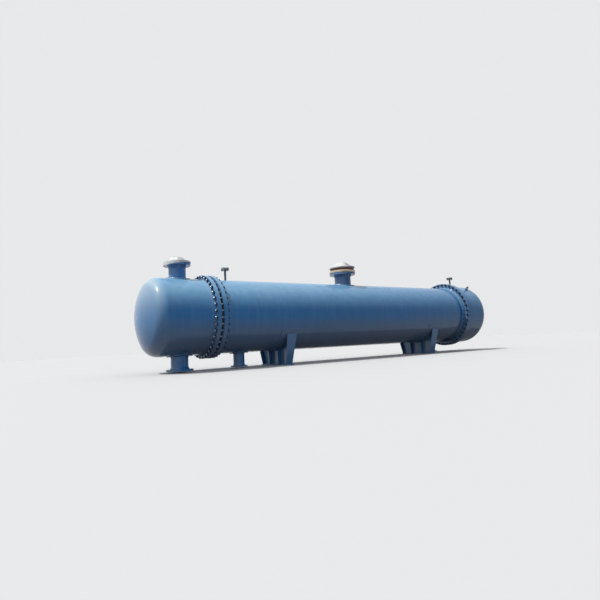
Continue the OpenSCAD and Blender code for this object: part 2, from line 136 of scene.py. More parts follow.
def spread(tree, value, before, after):
    """Maps a (node, socket) value from one (low, high) range to another, clamped."""
    node = tree.nodes.new("ShaderNodeMapRange")
    names = ("From Min", "From Max", "To Min", "To Max")
    for name, number in zip(names, (*before, *after)):
        node.inputs[name].default_value = number
    link(tree, value, (node, "Value"))
    return node


world = bpy.data.worlds.new("pale_sky")
scene.world = world
world.use_nodes = True
tree = world.node_tree
direction = parts_of(tree, "ShaderNodeTexCoord", "Generated")
height = spread(tree, (direction, "Z"), (-1, 1), (0, 1))
sky = ramp(tree, SKY_STOPS)
link(tree, (height, "Result"), (sky, "Fac"))
light = tree.nodes["Background"]
light.inputs["Strength"].default_value = SKY_STRENGTH
link(tree, (sky, "Color"), (light, "Color"))
backdrop = tree.nodes.new("ShaderNodeBackground")
backdrop.inputs["Color"].default_value = (*BACKDROP, 1)
choice = tree.nodes.new("ShaderNodeMixShader")
link(tree, (seen_rays(tree), "Value"), (choice, "Fac"))
link(tree, (light, "Background"), (choice, 1))
link(tree, (backdrop, "Background"), (choice, 2))
link(tree, (choice, "Shader"), (tree.nodes["World Output"], "Surface"))

# Floor: a plain pale slab, level with the underside of the saddles. It gives back less light
# than its colour shows, so the underside of the vessel stays dark.
FLOOR_COLOUR = (0.570, 0.556, 0.553)
FLOOR_BOUNCE = (0.20, 0.19, 0.18)
FLOOR_SIZE = 240
FLOOR_MIDDLE = (0, 40, 0)
FLOOR_ROUGHNESS = 0.9


def deselect():
    """Clears the selection, because an operator acts on all that is selected."""
    bpy.ops.object.select_all(action="DESELECT")


def new_material(name):
    """An empty node material, and its tree and shader."""
    material = bpy.data.materials.new(name)
    material.use_nodes = True
    return material, material.node_tree, material.node_tree.nodes["Principled BSDF"]


def blend_colour(tree, amount, first, second):
    """Mixes two colours, each a colour or a (node, socket) pair, by a (node, socket) amount."""
    mix = tree.nodes.new("ShaderNodeMix")
    mix.data_type = "RGBA"
    link(tree, amount, (mix, "Factor"))
    for value, socket in ((first, "A"), (second, "B")):
        if isinstance(value[0], float):
            mix.inputs[socket].default_value = (*value, 1)
        else:
            link(tree, value, (mix, socket))
    return mix


deselect()
bpy.ops.mesh.primitive_plane_add(size=FLOOR_SIZE, location=FLOOR_MIDDLE)
floor = bpy.context.object
floor.name = "floor"
floor_paint, tree, shader = new_material("floor_paint")
shown_colour = blend_colour(tree, (seen_rays(tree), "Value"), FLOOR_BOUNCE, FLOOR_COLOUR)
link(tree, (shown_colour, "Result"), (shader, "Base Color"))
shader.inputs["Roughness"].default_value = FLOOR_ROUGHNESS
floor.data.materials.append(floor_paint)

# Shell and channel: rolled steel plate under glossy blue enamel, sprayed on after welding.
# The coat has a fine orange peel and faint rain runs. Dust with a painted sky sheen lies on its
# top, painted shade and a painted brown reflection of the ground darken what looks down, the
# channel end is chalky with a painted sunlit sheen, and the coat is painted darker toward the
# cover as painted shade.
SHELL_BLUE = (0.002, 0.150, 0.420)
# Dust with a painted sky sheen: the paler colour that faces looking up take on.
DUST_AND_SKY_SHEEN = (0.42, 0.66, 0.75)
# Painted shade with a painted brown reflection of the ground, on faces that look down.
GROUND_REFLECTION_BROWN = (0.18, 0.155, 0.135)
# Chalk with a painted sunlit sheen, on faces that look toward -X and up, toward the sun.
CHALK_AND_SUN_SHEEN = (0.52, 0.60, 0.62)
# Places along X over which the coat and its top colour are painted darker toward the cover, as
# painted shade.
REAR_SHADE_ALONG = (-2.5, 3.5)
REAR_SHADE_ON_TOP_ALONG = (-2.0, 2.5)
SHELL_NODES = [
    "channel_head", "channel_barrel", "channel_flange", "shell_front_flange", "shell_barrel",
    "shell_rear_flange", "cover_flange", "cover_barrel", "cover_head", "channel_top_pad",
    "channel_bottom_pad", "shell_top_pad", "front_bottom_pad", "rear_bottom_pad",
    "fixed_saddle_pad", "sliding_saddle_pad", "cover_front_lug", "cover_back_lug",
]


def tinted(colour, factor):
    """A colour made darker or lighter."""
    return tuple(factor * part for part in colour)


def noise(tree, scale, detail, stretch=(1, 1, 1)):
    """A noise texture on object coordinates, drawn out by the stretch factors."""
    place = tree.nodes.new("ShaderNodeTexCoord")
    mapping = tree.nodes.new("ShaderNodeMapping")
    mapping.inputs["Scale"].default_value = stretch
    texture = tree.nodes.new("ShaderNodeTexNoise")
    texture.inputs["Scale"].default_value = scale
    texture.inputs["Detail"].default_value = detail
    link(tree, (place, "Object"), (mapping, "Vector"))
    link(tree, (mapping, "Vector"), (texture, "Vector"))
    return texture


def facing(tree):
    """The X, Y and Z of the way that a face looks."""
    return parts_of(tree, "ShaderNodeNewGeometry", "Normal")


def place_on_part(tree):
    """The X, Y and Z of a place on the part."""
    return parts_of(tree, "ShaderNodeTexCoord", "Object")


def product(tree, first, second):
    """Multiplies two (node, socket) values."""
    node = tree.nodes.new("ShaderNodeMath")
    node.operation = "MULTIPLY"
    link(tree, first, (node, 0))
    link(tree, second, (node, 1))
    return node


def relief(tree, shader, texture, strength, depth):
    """Adds a bump from a texture to a shader, on top of any bump that it already has."""
    bump = tree.nodes.new("ShaderNodeBump")
    bump.inputs["Strength"].default_value = strength
    bump.inputs["Distance"].default_value = depth
    link(tree, (texture, "Fac"), (bump, "Height"))
    if shader.inputs["Normal"].links:
        earlier = shader.inputs["Normal"].links[0].from_node
        link(tree, (earlier, "Normal"), (bump, "Normal"))
    link(tree, (bump, "Normal"), (shader, "Normal"))


def sprayed_coat(tree, colour, top_colour):
    """The coat's colour: mottled, with rain runs, and painted darker toward the cover as painted
    shade.
    """
    mottle = noise(tree, scale=0.9, detail=4.0)
    ground = blend_colour(tree, (mottle, "Fac"), tinted(colour, 0.84), tinted(colour, 1.14))
    runs = noise(tree, scale=3.0, detail=4.0, stretch=(5.0, 0.4, 0.4))
    run_amount = spread(tree, (runs, "Fac"), (0.48, 0.80), (0.0, 0.22))
    dulled = tuple(0.75 * c + 0.25 * d for c, d in zip(colour, top_colour))
    streaked = blend_colour(tree, (run_amount, "Result"), (ground, "Result"), dulled)
    rear_shade = spread(tree, (place_on_part(tree), "X"), REAR_SHADE_ALONG, (0.0, 0.45))
    return blend_colour(tree, (rear_shade, "Result"), (streaked, "Result"), tinted(colour, 0.5))


def pale_on_top(tree, amount, top_from):
    """Share of the top colour: most on faces that look up, patchy, and less toward the cover as
    painted shade.
    """
    on_top = spread(tree, (facing(tree), "Z"), (top_from, top_from + 0.55), (0.0, 1.0))
    speckle = noise(tree, scale=9.0, detail=8.0)
    patchy = spread(tree, (speckle, "Fac"), (0.25, 0.75), (0.72 * amount, amount))
    top_patches = product(tree, (on_top, "Result"), (patchy, "Result"))
    less_to_rear = spread(tree, (place_on_part(tree), "X"), REAR_SHADE_ON_TOP_ALONG, (1.0, 0.45))
    return product(tree, (top_patches, "Value"), (less_to_rear, "Result"))


def painted_light_and_chalk(tree, coat):
    """Adds painted shade and a painted brown ground reflection to faces that look down, and chalk
    with a painted sunlit sheen to the others that look toward -X.
    """
    normal = facing(tree)
    below = spread(tree, (normal, "Z"), (-0.05, -0.60), (0.0, 0.50))
    ground_reflected = blend_colour(tree, (below, "Result"), (coat, "Result"), GROUND_REFLECTION_BROWN)
    ahead = spread(tree, (normal, "X"), (-0.05, -0.70), (0.0, 1.0))
    sunlit = spread(tree, (normal, "Z"), (-0.40, 0.60), (0.0, 0.57))
    chalk_and_sun = product(tree, (ahead, "Result"), (sunlit, "Result"))
    return blend_colour(tree, (chalk_and_sun, "Value"), (ground_reflected, "Result"), CHALK_AND_SUN_SHEEN)


def enamel(name, colour, top_colour, top_amount, top_from):
    """Glossy enamel; the top colour lies where the Z of the normal is more than top_from."""
    material, tree, shader = new_material(name)
    coat = sprayed_coat(tree, colour, top_colour)
    top_share = pale_on_top(tree, top_amount, top_from)
    topped = blend_colour(tree, (top_share, "Value"), (coat, "Result"), top_colour)
    surface = painted_light_and_chalk(tree, topped)
    link(tree, (surface, "Result"), (shader, "Base Color"))
    rough = spread(tree, (top_share, "Value"), (0.0, top_amount), (0.20, 0.42))
    link(tree, (rough, "Result"), (shader, "Roughness"))
    shader.inputs["Specular IOR Level"].default_value = 0.12
    shader.inputs["Coat Weight"].default_value = 0.45
    shader.inputs["Coat Roughness"].default_value = 0.10
    relief(tree, shader, noise(tree, scale=130.0, detail=2.0), strength=0.06, depth=0.001)
    relief(tree, shader, noise(tree, scale=5.0, detail=2.0), strength=0.05, depth=0.004)
    return material


def finish_nodes(names, material):
    """Gives CAD nodes one material."""
    for name in names:
        mesh = nodes[name].data
        mesh.materials.clear()
        mesh.materials.append(material)


shell_paint = enamel("shell_enamel", SHELL_BLUE, DUST_AND_SKY_SHEEN, top_amount=0.50, top_from=0.10)
finish_nodes(SHELL_NODES, shell_paint)

# Tube sheet and what lies behind it: turned steel, oiled and tarnished in patches, and painted
# near black as painted shade of the gap between the flanges. Only the rim of the sheet shows,
# between the studs of the front joint.
SHEET_STEEL_AND_SHADE = (0.060, 0.063, 0.070)
TARNISH = (0.075, 0.062, 0.055)
SHEET_NODES = ["tube_sheet", "floating_tube_sheet", "backing_ring", "floating_head", "tube_bundle"]


def turned_steel(name, colour):
    """Machined steel with fine turning marks and patches of tarnish."""
    material, tree, shader = new_material(name)
    tarnish = noise(tree, scale=9.0, detail=5.0)
    amount = spread(tree, (tarnish, "Fac"), (0.45, 0.75), (0.0, 0.7))
    surface = blend_colour(tree, (amount, "Result"), colour, TARNISH)
    link(tree, (surface, "Result"), (shader, "Base Color"))
    rough = spread(tree, (tarnish, "Fac"), (0.3, 0.8), (0.3, 0.6))
    link(tree, (rough, "Result"), (shader, "Roughness"))
    shader.inputs["Metallic"].default_value = 0.9
    marks = noise(tree, scale=60.0, detail=2.0, stretch=(14.0, 1.0, 1.0))
    relief(tree, shader, marks, strength=0.12, depth=0.001)
    return material


finish_nodes(SHEET_NODES, turned_steel("tube_sheet_steel", SHEET_STEEL_AND_SHADE))

# Gaskets: thin rings of dark pressed fibre, held in the recesses of the girth flanges, and one
# of brown fibre under the closure of the channel's top nozzle.
GASKET_GREY = (0.055, 0.055, 0.060)
FIBRE_BROWN = (0.085, 0.045, 0.030)


def fibre(name, colour):
    """Pressed fibre: dark, dull and slightly mottled."""
    material, tree, shader = new_material(name)
    speckle = noise(tree, scale=45.0, detail=5.0)
    surface = blend_colour(tree, (speckle, "Fac"), colour, tinted(colour, 1.9))
    link(tree, (surface, "Result"), (shader, "Base Color"))
    shader.inputs["Roughness"].default_value = 0.8
    relief(tree, shader, speckle, strength=0.2, depth=0.001)
    return material


finish_nodes(["channel_gasket", "shell_gasket", "cover_gasket"], fibre("gasket_fibre", GASKET_GREY))
finish_nodes(["channel_top_gasket"], fibre("brown_fibre", FIBRE_BROWN))

# Studs of the girth joints: 40 alloy steel rods, threaded at both ends, each with a heavy
# blackened nut outside either flange. At the front joint they run open past the tube sheet
# and caught some overspray, and the ends are bare, painted pale blue as a painted sky glint.
# The rear ones have dark ends.
STUD_BLACK = (0.014, 0.017, 0.030)
# Bare steel tinted pale blue: bare end faces with a painted sky glint.
BARE_STEEL_AND_GLINT = (0.45, 0.54, 0.66)
DULL_STEEL = (0.07, 0.09, 0.13)
WORN_STEEL = (0.30, 0.35, 0.42)
OVERSPRAY = (0.20, 0.26, 0.34)
RUST = (0.14, 0.06, 0.03)
GIRTH_STUDS = 40
GIRTH_STUD_DIAMETER = 0.027
GIRTH_STUB = 0.014
GIRTH_NUT_FLATS = 0.046
GIRTH_NUT_HEIGHT = 0.028
GIRTH_NUT_TWIST = 0.9
THREAD_PITCH = 0.003
THREAD_ROOT_SHARE = 0.90
THREAD_INSIDE = 0.012
STUD_TIP_SHARE = 0.7
STUD_CHAMFER = 0.002
STUD_DOME = 0.001
STUD_STEPS = 12
NUT_CHAMFER_SHARE = 0.11
RING_THICKNESS = 0.060
FRONT_BOLTS_OUT = 0.040
REAR_BOLTS_OUT = 0.081
COVER_GAP = 0.004
SEED_SIZE = 0.01
MERGE_WITHIN = 0.00005
SMOOTH_BELOW = math.radians(32)

shell_low, shell_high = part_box("shell_barrel")
axis_height = (shell_low[2] + shell_high[2]) / 2
shell_radius = (shell_high[2] - shell_low[2]) / 2
channel_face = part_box("channel_flange")[1][0]
shell_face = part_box("shell_front_flange")[0][0]
rear_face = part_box("shell_rear_flange")[1][0]
cover_face = rear_face + COVER_GAP


def blackened(name, colour, bare, axis):
    """Blackened steel: worn, with a trace of rust, and in a second colour on faces square to an
    axis.
    """
    material, tree, shader = new_material(name)
    wear = noise(tree, scale=55.0, detail=4.0)
    amount = spread(tree, (wear, "Fac"), (0.52, 0.70), (0.0, 0.55))
    surface = blend_colour(tree, (amount, "Result"), colour, WORN_STEEL)
    rust = noise(tree, scale=16.0, detail=4.0)
    rust_amount = spread(tree, (rust, "Fac"), (0.60, 0.80), (0.0, 0.1))
    stained = blend_colour(tree, (rust_amount, "Result"), (surface, "Result"), RUST)
    squareness = tree.nodes.new("ShaderNodeMath")
    squareness.operation = "ABSOLUTE"
    link(tree, (facing(tree), axis), (squareness, 0))
    square_on = spread(tree, (squareness, "Value"), (0.60, 0.90), (0.0, 1.0))
    turned = blend_colour(tree, (square_on, "Result"), (stained, "Result"), bare)
    link(tree, (turned, "Result"), (shader, "Base Color"))
    rough = spread(tree, (wear, "Fac"), (0.3, 0.7), (0.42, 0.24))
    link(tree, (rough, "Result"), (shader, "Roughness"))
    shader.inputs["Metallic"].default_value = 0.75
    return material


stud_steel = blackened("stud_steel", STUD_BLACK, BARE_STEEL_AND_GLINT, "X")
rear_stud_steel = blackened("rear_stud_steel", STUD_BLACK, DULL_STEEL, "X")
sprayed_steel = blackened("sprayed_steel", OVERSPRAY, BARE_STEEL_AND_GLINT, "X")


def lathe(name, profile, steps):
    """Turns a (radius, height) profile round the Z axis, as on a lathe."""
    deselect()
    bpy.ops.mesh.primitive_plane_add(size=SEED_SIZE, location=(profile[0][0], 0, profile[0][1]))
    turned = bpy.context.object
    turned.name = name
    bpy.ops.object.transform_apply(location=True)
    bpy.ops.object.mode_set(mode="EDIT")
    bpy.ops.mesh.select_all(action="SELECT")
    bpy.ops.mesh.merge(type="CENTER")
    for (r0, z0), (r1, z1) in zip(profile, profile[1:]):
        bpy.ops.mesh.extrude_region_move(TRANSFORM_OT_translate={"value": (r1 - r0, 0, z1 - z0)})
    bpy.ops.mesh.select_all(action="SELECT")
    bpy.ops.mesh.spin(steps=steps, angle=2 * math.pi, center=(0, 0, 0), axis=(0, 0, 1))
    bpy.ops.mesh.select_all(action="SELECT")
    bpy.ops.mesh.remove_doubles(threshold=MERGE_WITHIN)
    bpy.ops.mesh.normals_make_consistent(inside=False)
    bpy.ops.object.mode_set(mode="OBJECT")
    return turned


def thread_profile(start, end, radius):
    """(radius, height) points of a thread between two heights, as rings of crest and root."""
    turns = round((end - start) / THREAD_PITCH)
    step = (end - start) / turns
    points = []
    for turn in range(turns):
        points.append((radius * THREAD_ROOT_SHARE, start + turn * step))
        points.append((radius, start + (turn + 0.5) * step))
    points.append((radius * THREAD_ROOT_SHARE, end))
    return points


def stud(length, diameter, threaded):
    """A stud along Z, centred, threaded over a length at both ends and domed a little."""
    radius = diameter / 2
    half = length / 2
    lower = thread_profile(-half + STUD_CHAMFER, -half + threaded, radius)
    upper = thread_profile(half - threaded, half - STUD_CHAMFER, radius)
    profile = [(0, -half - STUD_DOME), (radius * STUD_TIP_SHARE, -half), *lower, *upper]
    profile += [(radius * STUD_TIP_SHARE, half), (0, half + STUD_DOME)]
    return lathe("stud", profile, STUD_STEPS)


def hex_nut(flats, height, at):
    """A hexagon nut at a height on the Z axis, with its corners chamfered top and bottom."""
    deselect()
    corners = flats / math.sqrt(3)
    bpy.ops.mesh.primitive_cylinder_add(
        vertices=6, radius=corners, depth=height, location=(0, 0, at), end_fill_type="NGON"
    )
    nut = bpy.context.object
    nut.name = "nut"
    bpy.ops.object.transform_apply(location=True)
    bpy.ops.object.mode_set(mode="EDIT")
    bpy.ops.mesh.select_all(action="SELECT")
    bpy.ops.mesh.bevel(offset=height * NUT_CHAMFER_SHARE, segments=1, affect="VERTICES")
    bpy.ops.mesh.select_all(action="DESELECT")
    bpy.ops.object.mode_set(mode="OBJECT")
    return nut


def two_nuts(flats, height, grip):
    """Two nuts on the Z axis, one beyond either end of what they hold together."""
    return [hex_nut(flats, height, side * (grip / 2 + height / 2)) for side in (-1, 1)]


def join(objects, name):
    """Joins objects into one, with its origin at the frame's origin."""
    deselect()
    for item in objects:
        item.select_set(True)
    bpy.context.view_layer.objects.active = objects[0]
    bpy.ops.object.join()
    joined = bpy.context.object
    joined.name = name
    joined.data.name = name
    return joined


def copies(unit, places, name):
    """Copies a unit to each place, a matrix, joins the copies and removes the unit."""
    made = []
    for place in places:
        item = unit.copy()
        item.data = unit.data.copy()
        item.data.transform(place)
        scene.collection.objects.link(item)
        made.append(item)
    bpy.data.objects.remove(unit)
    return join(made, name)


def dress(piece, material):
    """Gives a piece its material and smooth shading, and rides it on the vessel."""
    piece.data.materials.clear()
    piece.data.materials.append(material)
    deselect()
    piece.select_set(True)
    bpy.context.view_layer.objects.active = piece
    bpy.ops.object.shade_smooth_by_angle(angle=SMOOTH_BELOW)
    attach(piece, "root")


def girth_studs(name, left_back, right_back, pitch_radius):
    """The studs and the nuts of one girth joint, between the bolt sides of its two flanges."""
    grip = right_back - left_back
    length = grip + 2 * (GIRTH_NUT_HEIGHT + GIRTH_STUB)
    rod = stud(length, GIRTH_STUD_DIAMETER, GIRTH_NUT_HEIGHT + GIRTH_STUB + THREAD_INSIDE)
    pair = join(two_nuts(GIRTH_NUT_FLATS, GIRTH_NUT_HEIGHT, grip), "nut_pair")
    along = Matrix.Rotation(math.pi / 2, 4, "Y")
    middle = Matrix.Translation(((left_back + right_back) / 2, 0, axis_height))
    out = Matrix.Translation((0, 0, pitch_radius))
    places = []
    for i in range(GIRTH_STUDS):
        turn = Matrix.Rotation((i + 0.5) * 2 * math.pi / GIRTH_STUDS, 4, "X")
        twist = Matrix.Rotation(GIRTH_NUT_TWIST * i, 4, "Z")
        places.append(middle @ turn @ out @ along @ twist)
    return copies(rod, places, name + "_studs"), copies(pair, places, name + "_nuts")


front_studs, front_nuts = girth_studs(
    "front_joint",
    channel_face - RING_THICKNESS,
    shell_face + RING_THICKNESS,
    shell_radius + FRONT_BOLTS_OUT,
)
dress(front_studs, sprayed_steel)
dress(front_nuts, stud_steel)
rear_studs, rear_nuts = girth_studs(
    "rear_joint",
    rear_face - RING_THICKNESS,
    cover_face + RING_THICKNESS,
    shell_radius + REAR_BOLTS_OUT,
)
dress(rear_studs, rear_stud_steel)
dress(rear_nuts, rear_stud_steel)

# Seams of the shell, channel and cover: weld beads whose passes leave fine ripples, under the
# same enamel. Ring seams join the rolled courses, and one long seam closes each course.
BEAD_WIDTH = 0.016
BEAD_STEP = 0.006
BEAD_DIP_SHARE = 0.86
BEAD_SUNK = 0.30 * BEAD_WIDTH
HUB_LENGTH = 0.075
COURSES = 3
CHANNEL_SEAM_AT = math.radians(38)
SHELL_SEAM_AT = math.radians(48)
MIDDLE_SEAM_AT = math.radians(-32)
COVER_SEAM_AT = math.radians(40)

cover_low, cover_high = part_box("cover_barrel")
cover_radius = (cover_high[2] - cover_low[2]) / 2
channel_end = channel_face - RING_THICKNESS - HUB_LENGTH
shell_start = shell_face + RING_THICKNESS + HUB_LENGTH
shell_end = rear_face - RING_THICKNESS - HUB_LENGTH
cover_start = cover_face + RING_THICKNESS + HUB_LENGTH
channel_head_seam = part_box("channel_head")[1][0]
cover_head_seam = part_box("cover_head")[0][0]
course = (shell_end - shell_start) / COURSES


def weld_bead(name, path, width, closed=False):
    """A rippled bead along a path of points, partly sunk in the plates that it joins."""
    curve = bpy.data.curves.new(name, "CURVE")
    curve.dimensions = "3D"
    curve.bevel_depth = width / 2
    curve.bevel_resolution = 1
    spline = curve.splines.new("POLY")
    spline.points.add(len(path) - 1)
    for i, (point, place) in enumerate(zip(spline.points, path)):
        point.co = (*place, 1)
        point.radius = 1.0 if i % 2 else BEAD_DIP_SHARE
    spline.use_cyclic_u = closed
    bead = bpy.data.objects.new(name, curve)
    scene.collection.objects.link(bead)
    deselect()
    bead.select_set(True)
    bpy.context.view_layer.objects.active = bead
    bpy.ops.object.convert(target="MESH")
    return bpy.context.object


def arc_path(x, radius, start, end, closed=False):
    """Points on a round about the shell axis at a place along it; angles are from the top."""
    count = 2 * round(abs(end - start) * radius / BEAD_STEP / 2)
    last = count if closed else count - 1
    angles = [start + (end - start) * i / last for i in range(count)]
    return [(x, radius * math.sin(a), axis_height + radius * math.cos(a)) for a in angles]


def line_path(start, end):
    """Points on a straight line."""
    start, end = Vector(start), Vector(end)
    count = round((end - start).length / BEAD_STEP)
    return [tuple(start.lerp(end, i / (count - 1))) for i in range(count)]


def ring_seam(x, radius):
    """A bead all the way round, a little below the plate's surface."""
    path = arc_path(x, radius - BEAD_SUNK, 0, 2 * math.pi, closed=True)
    return weld_bead("seam", path, BEAD_WIDTH, closed=True)


def long_seam(x_from, x_to, radius, angle):
    """A straight bead along a course, at an angle from the top."""
    sunk = radius - BEAD_SUNK
    y, z = sunk * math.sin(angle), axis_height + sunk * math.cos(angle)
    return weld_bead("seam", line_path((x_from, y, z), (x_to, y, z)), BEAD_WIDTH)


channel_welds = join(
    [
        ring_seam(channel_head_seam, shell_radius),
        ring_seam(channel_end, shell_radius),
        long_seam(channel_head_seam, channel_end, shell_radius, CHANNEL_SEAM_AT),
    ],
    "channel_welds",
)
dress(channel_welds, shell_paint)
shell_welds = join(
    [
        ring_seam(shell_start, shell_radius),
        ring_seam(shell_start + course, shell_radius),
        ring_seam(shell_end - course, shell_radius),
        ring_seam(shell_end, shell_radius),
        long_seam(shell_start, shell_start + course, shell_radius, SHELL_SEAM_AT),
        long_seam(shell_start + course, shell_end - course, shell_radius, MIDDLE_SEAM_AT),
        long_seam(shell_end - course, shell_end, shell_radius, SHELL_SEAM_AT),
    ],
    "shell_welds",
)
dress(shell_welds, shell_paint)
cover_welds = join(
    [
        ring_seam(cover_start, cover_radius),
        ring_seam(cover_head_seam, cover_radius),
        long_seam(cover_start, cover_head_seam, cover_radius, COVER_SEAM_AT),
    ],
    "cover_welds",
)
dress(cover_welds, shell_paint)

# Nozzles: rolled necks and forged flanges in the shell's enamel, painted a deeper blue as painted
# light on their small rounds, and darker still as painted shade on the shell's top nozzle. A fillet
# weld runs where each neck enters its pad and round the pad's edge, and a butt weld where the neck
# meets its flange hub.
NOZZLE_BLUE_PAINTED_LIGHT = (0.004, 0.165, 0.480)
TOP_NOZZLE_BLUE_PAINTED_SHADE = (0.001, 0.105, 0.330)
NOZZLE_NODES = [
    "channel_top_nozzle", "channel_bottom_nozzle", "front_bottom_nozzle", "rear_bottom_nozzle",
]
PIPE_250 = {"neck_radius": 0.1365, "hub_height": 0.035, "flange_thickness": 0.032}
PIPE_300 = {"neck_radius": 0.1625, "hub_height": 0.046, "flange_thickness": 0.042}
PIPE_150 = {"neck_radius": 0.095, "hub_height": 0.026, "flange_thickness": 0.024}
PAD_THICKNESS = 0.012
FILLET_WIDTH = 0.018
BUTT_WIDTH = 0.009
BUTT_SUNK = 0.002

nozzle_paint = enamel("nozzle_enamel", NOZZLE_BLUE_PAINTED_LIGHT, DUST_AND_SKY_SHEEN, top_amount=0.16, top_from=0.30)
finish_nodes(NOZZLE_NODES, nozzle_paint)
top_nozzle_paint = enamel(
    "top_nozzle_enamel", TOP_NOZZLE_BLUE_PAINTED_SHADE, DUST_AND_SKY_SHEEN, top_amount=0.16, top_from=0.30
)
finish_nodes(["shell_top_nozzle"], top_nozzle_paint)


def ring_angles(radius):
    """Angles of the crests and dips of a bead round a circle."""
    count = 2 * round(math.pi * radius / BEAD_STEP)
    return [2 * math.pi * i / count for i in range(count)]


def saddle_path(x, pipe_radius, vessel_radius, side):
    """Points where an upright pipe meets the vessel; side is 1 on top, -1 below."""
    points = []
    for angle in ring_angles(pipe_radius):
        y = pipe_radius * math.sin(angle)
        z = axis_height + side * math.sqrt(vessel_radius * vessel_radius - y * y)
        points.append((x + pipe_radius * math.cos(angle), y, z))
    return points


def level_ring(x, radius, z):
    """Points on a level circle."""
    return [(x + radius * math.cos(a), radius * math.sin(a), z) for a in ring_angles(radius)]


def nozzle_welds(name, pipe, side):
    """The three beads of one padded nozzle; side is 1 on top of the vessel, -1 below."""
    low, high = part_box(name + "_nozzle")
    pad_low, pad_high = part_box(name + "_pad")
    x = (low[0] + high[0]) / 2
    pad_radius = (pad_high[0] - pad_low[0]) / 2
    face = high[2] if side > 0 else low[2]
    hub_foot = face - side * (pipe["flange_thickness"] + pipe["hub_height"])
    at_neck = saddle_path(x, pipe["neck_radius"], shell_radius + PAD_THICKNESS, side)
    at_edge = saddle_path(x, pad_radius, shell_radius, side)
    at_hub = level_ring(x, pipe["neck_radius"] - BUTT_SUNK, hub_foot)
    return [
        weld_bead("fillet", at_neck, FILLET_WIDTH, closed=True),
        weld_bead("fillet", at_edge, FILLET_WIDTH, closed=True),
        weld_bead("butt", at_hub, BUTT_WIDTH, closed=True),
    ]


nozzle_beads = join(
    nozzle_welds("channel_top", PIPE_250, 1)
    + nozzle_welds("channel_bottom", PIPE_250, -1)
    + nozzle_welds("shell_top", PIPE_300, 1)
    + nozzle_welds("front_bottom", PIPE_150, -1)
    + nozzle_welds("rear_bottom", PIPE_150, -1),
    "nozzle_welds",
)
dress(nozzle_beads, shell_paint)

# Vents: pipe stubs, each closed by a blind flange on four bolts, with a fillet weld at its
# foot. The shell's is thinly enamelled and paler where it looks up, its blind is in primer and
# painted pale on top, and its bolts are zinc-plated with tops painted pale blue as a painted
# glint. The cover's is navy, with dull black bolts.
VENT_BLUE = (0.025, 0.070, 0.130)
BLIND_GREY = (0.25, 0.31, 0.27)
VENT_PALE_TOP = (0.48, 0.55, 0.48)
COVER_VENT_NAVY = (0.010, 0.026, 0.060)
VENT_BOLT_ZINC = (0.30, 0.32, 0.33)
VENT_BOLTS = 4
VENT_BOLT_DIAMETER = 0.014
VENT_BOLT_ENDS = 0.012
VENT_THREAD_INSIDE = 0.008
VENT_NUT_FLATS = 0.022
VENT_NUT_HEIGHT = 0.010
VENT_NUT_TWIST = 0.7
VENT_PITCH_RADIUS = 0.050
VENT_PIPE_RADIUS = 0.019
VENT_FILLET = 0.012

vent_paint = enamel("vent_enamel", VENT_BLUE, VENT_PALE_TOP, top_amount=0.8, top_from=0.20)
finish_nodes(["shell_vent"], vent_paint)
blind_paint = enamel("blind_primer", BLIND_GREY, VENT_PALE_TOP, top_amount=0.9, top_from=-0.05)
finish_nodes(["shell_vent_blind"], blind_paint)
navy_paint = enamel(
    "cover_vent_enamel", COVER_VENT_NAVY, VENT_PALE_TOP, top_amount=0.15, top_from=0.45
)
finish_nodes(["cover_vent", "cover_vent_blind"], navy_paint)
vent_bolt_steel = blackened("vent_bolt_steel", VENT_BOLT_ZINC, BARE_STEEL_AND_GLINT, "Z")


def vent_bolts(name, x, z_low, z_high):
    """Upright studs round a vent's pipe, each with a nut above and below."""
    grip = z_high - z_low
    length = grip + 2 * VENT_NUT_HEIGHT + VENT_BOLT_ENDS
    rod = stud(length, VENT_BOLT_DIAMETER, VENT_NUT_HEIGHT + VENT_THREAD_INSIDE)
    unit = join([rod, *two_nuts(VENT_NUT_FLATS, VENT_NUT_HEIGHT, grip)], "bolt_unit")
    middle = Matrix.Translation((x, 0, (z_low + z_high) / 2))
    out = Matrix.Translation((VENT_PITCH_RADIUS, 0, 0))
    places = []
    for i in range(VENT_BOLTS):
        turn = Matrix.Rotation((i + 0.5) * 2 * math.pi / VENT_BOLTS, 4, "Z")
        twist = Matrix.Rotation(VENT_NUT_TWIST * i, 4, "Z")
        places.append(middle @ turn @ out @ twist)
    return copies(unit, places, name)


def vent_hardware(name, radius, steel):
    """The bolts of one vent and the fillet at its foot, on a plate of a radius."""
    low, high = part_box(name)
    blind_low, blind_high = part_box(name + "_blind")
    x = (low[0] + high[0]) / 2
    flange = blind_high[2] - blind_low[2]
    bolts = vent_bolts(name + "_bolts", x, high[2] - flange, blind_high[2])
    dress(bolts, steel)
    foot = saddle_path(x, VENT_PIPE_RADIUS, radius, 1)
    fillet = weld_bead(name + "_weld", foot, VENT_FILLET, closed=True)
    dress(fillet, shell_paint)


vent_hardware("shell_vent", shell_radius, vent_bolt_steel)
vent_hardware("cover_vent", cover_radius, rear_stud_steel)

# Saddles: base, web and ribs cut from plate and welded, in the shell's enamel painted a lighter
# slate blue, as painted light in the vessel's shade. Fillet welds run round the wear plate, where
# the web and ribs meet it, and along their feet on the base plate.
SADDLE_BLUE_PAINTED_LIGHT = (0.045, 0.205, 0.460)
SADDLE_NODES = [
    "fixed_saddle_frame", "fixed_saddle_base", "sliding_saddle_frame", "sliding_saddle_base",
]
WEAR_THICKNESS = 0.008
BASE_THICKNESS = 0.016
PLATE_THICKNESS = 0.010
HORN_ANGLE = math.radians(60)
HORN_END = 0.03
INNER_RIB_AT = 0.150
RIB_FOOT = 0.128
RIB_HEAD = 0.170
WEB_FOOT = 0.400
EDGE_PROUD = 0.003
WEB_PROUD = 0.002
SMALL_FILLET = 0.011

